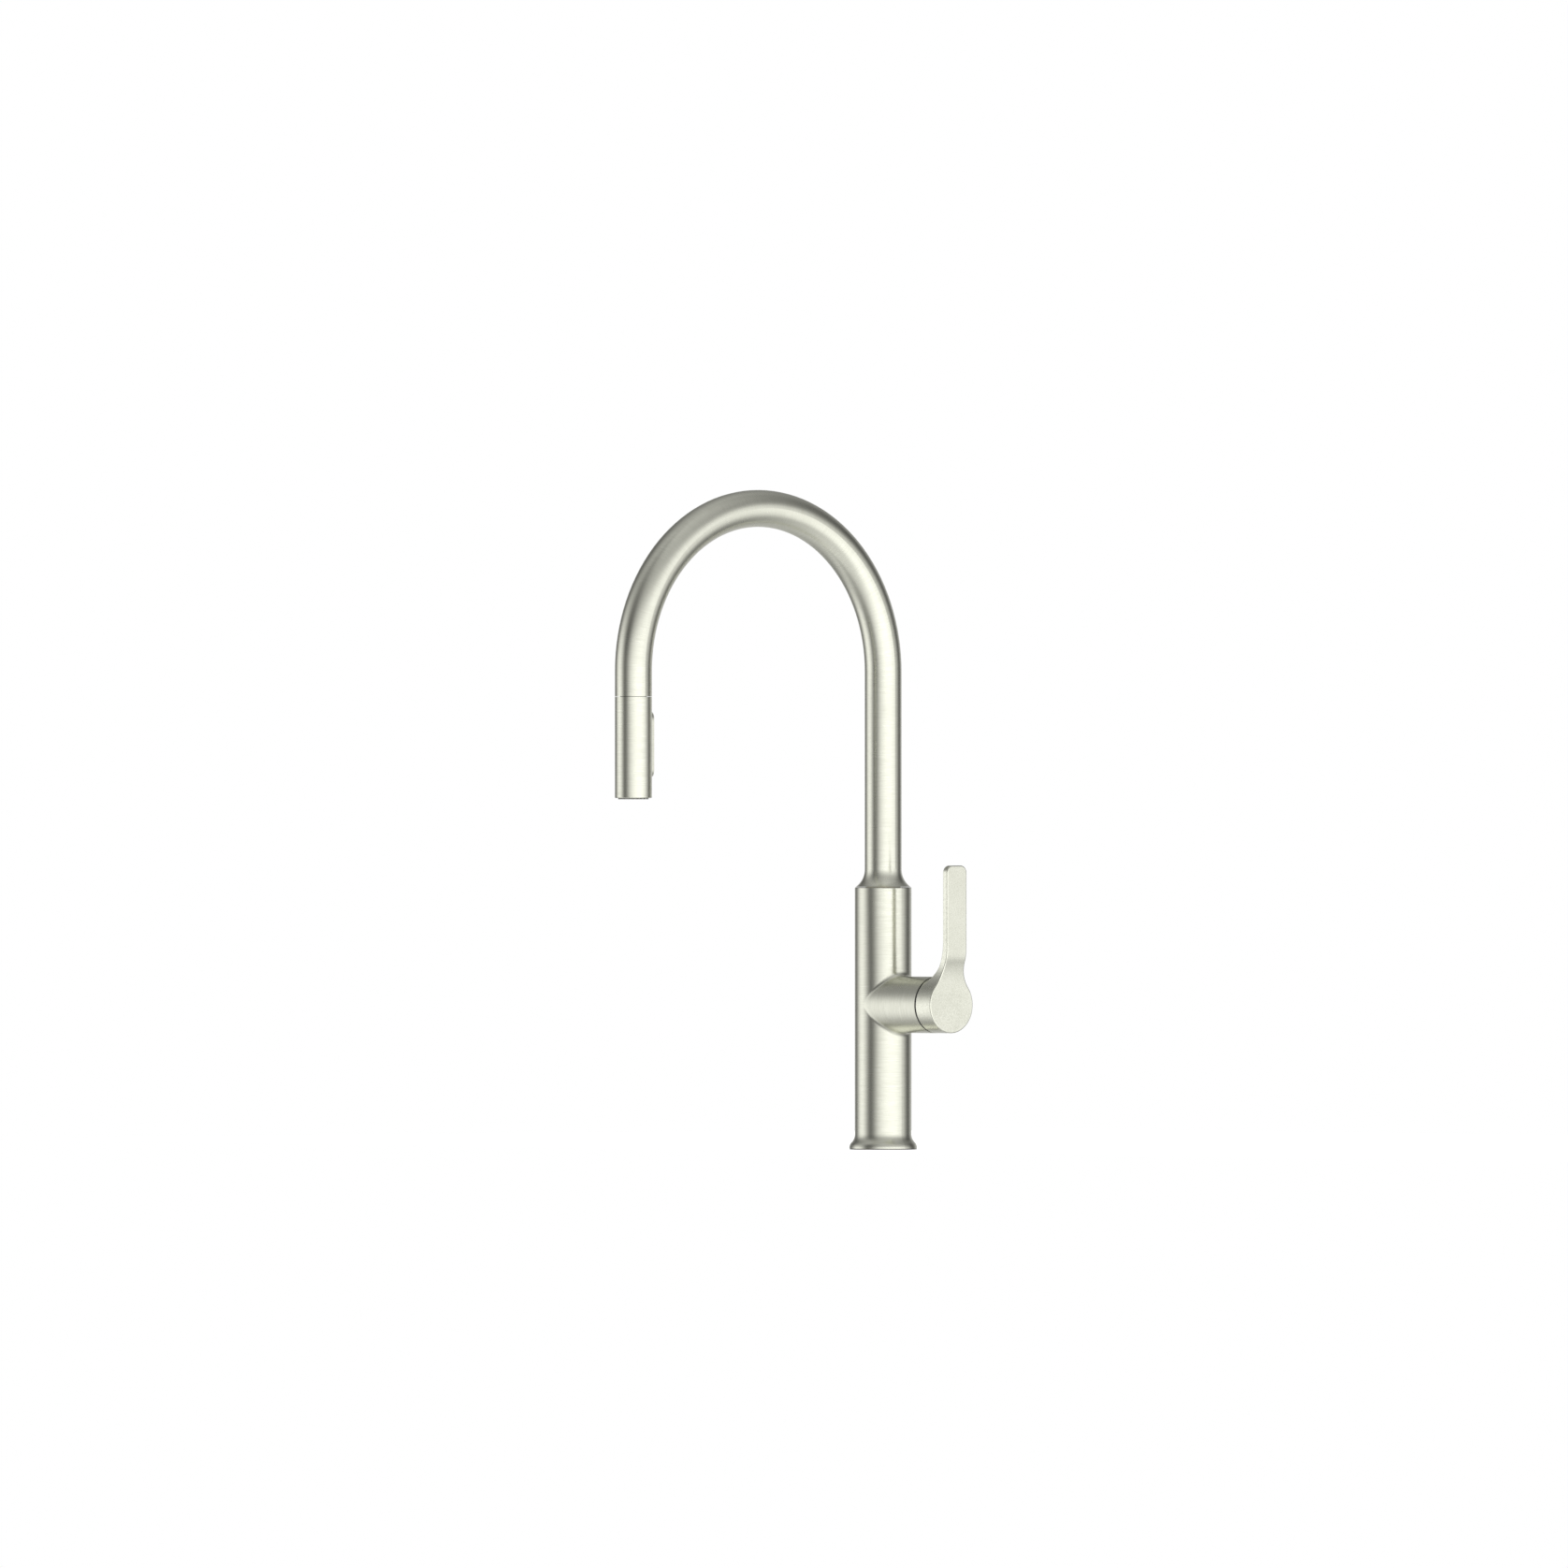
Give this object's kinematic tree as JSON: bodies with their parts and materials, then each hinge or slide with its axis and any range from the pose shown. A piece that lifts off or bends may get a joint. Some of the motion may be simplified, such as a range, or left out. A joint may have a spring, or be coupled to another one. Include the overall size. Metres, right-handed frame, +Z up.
{
  "type": "pull-down kitchen faucet",
  "caption": "Single-lever kitchen faucet: round body with a side lever, high gooseneck spout that swivels, and a pull-down spray head on a hose.",
  "frame": {"origin": "centre of the deck hole, in the deck plane under the base gasket, on the body axis", "axes": "+Z up along the body, -Y towards the spray head over the sink, +X along the valve towards the lever"},
  "size_m": [0.1029, 0.262, 0.4574],
  "materials": {
    "nickel": "brushed nickel, fine cross grain",
    "brass": "turned brass",
    "dome": "dark, half hidden in the gap",
    "tube": "natural plastic tube",
    "steel": "stainless steel",
    "cartridge": "moulded plastic",
    "ceramic": "lapped ceramic",
    "stem": "turned brass",
    "bearing": "low-friction plastic",
    "magnet": "plated magnet",
    "rubber": "black rubber",
    "hose": "braided nylon sleeve",
    "plastic": "moulded plastic",
    "face": "dark face plate",
    "silicone": "grey silicone"
  },
  "bodies": {
    "base": {"body_shell": "nickel", "base_gasket": "rubber", "base_insert": "brass", "inlet_tube_cold": "tube", "outlet_tube": "tube", "inlet_tube_hot": "tube", "valve_core": "brass", "port_seals": "rubber", "cartridge_base": "cartridge", "ceramic_disc_fixed": "ceramic", "cartridge_housing": "cartridge", "cartridge_nut": "brass", "bonnet_dome": "dome", "swivel_bush_lower": "bearing", "swivel_bush_upper": "bearing", "swivel_stop": "bearing"},
    "spout": {"spout_tube": "nickel", "neck_collar": "nickel", "spout_foot": "brass", "stop_pin": "steel", "retaining_clip": "steel", "hose_guide": "bearing", "dock_collar": "bearing", "dock_magnet": "magnet", "spray_hose": "hose"},
    "head": {"head_shell": "nickel", "head_spigot": "plastic", "head_magnet": "magnet", "hose_ferrule": "steel", "hose_nut": "brass", "nut_washer": "rubber", "head_waterway": "plastic", "check_valve": "plastic", "waterway_seal": "rubber", "spray_plate": "plastic", "spray_face": "face", "nozzle_mat": "silicone", "aerator": "plastic", "rocker_pin": "steel"},
    "rocker": {"rocker_button": "nickel"},
    "plunger": {"diverter_plunger": "plastic"},
    "rotor": {"cartridge_rotor": "cartridge", "tilt_pin": "steel"},
    "slider": {"ceramic_disc_moving": "ceramic", "disc_carrier": "cartridge"},
    "handle": {"handle_lever": "nickel", "handle_insert": "brass", "handle_screw": "steel", "cartridge_stem": "stem"}
  },
  "joints": [
    {"name": "spout_swivel", "type": "hinge", "parent": "base", "child": "spout", "pos_m": [0, 0, 0.15], "axis": [0, 0, 1], "range_deg": [-60, 60]},
    {"name": "head_pull", "type": "slide", "parent": "spout", "child": "head", "axis": [0, 0, -1], "range_m": [0, 0.38], "stiffness_N_per_m": 6, "springref_m": -0.7, "deforming": ["spray_hose"]},
    {"name": "rocker_tilt", "type": "hinge", "parent": "head", "child": "rocker", "pos_m": [0, -0.2176, 0.28105], "axis": [-1, 0, 0], "range_deg": [-3, 3]},
    {"name": "plunger_slide", "type": "slide", "parent": "head", "child": "plunger", "axis": [0, -1, 0], "range_m": [-0.00069, 0.00069]},
    {"name": "handle_turn", "type": "hinge", "parent": "base", "child": "rotor", "pos_m": [0.0434, 0, 0.1006], "axis": [1, 0, 0], "range_deg": [-45, 45]},
    {"name": "handle_tilt", "type": "hinge", "parent": "rotor", "child": "handle", "pos_m": [0.0434, 0, 0.1006], "axis": [0, 1, 0], "range_deg": [0, 22]},
    {"name": "disc_slide", "type": "slide", "parent": "rotor", "child": "slider", "axis": [0, 0, 1], "range_m": [0, 0.00233]}
  ],
  "couplings": [
    {"joint": "plunger_slide", "follows": "rocker_tilt", "m_per_rad": 0.012994},
    {"joint": "disc_slide", "follows": "handle_tilt", "m_per_rad": 0.006049}
  ]
}
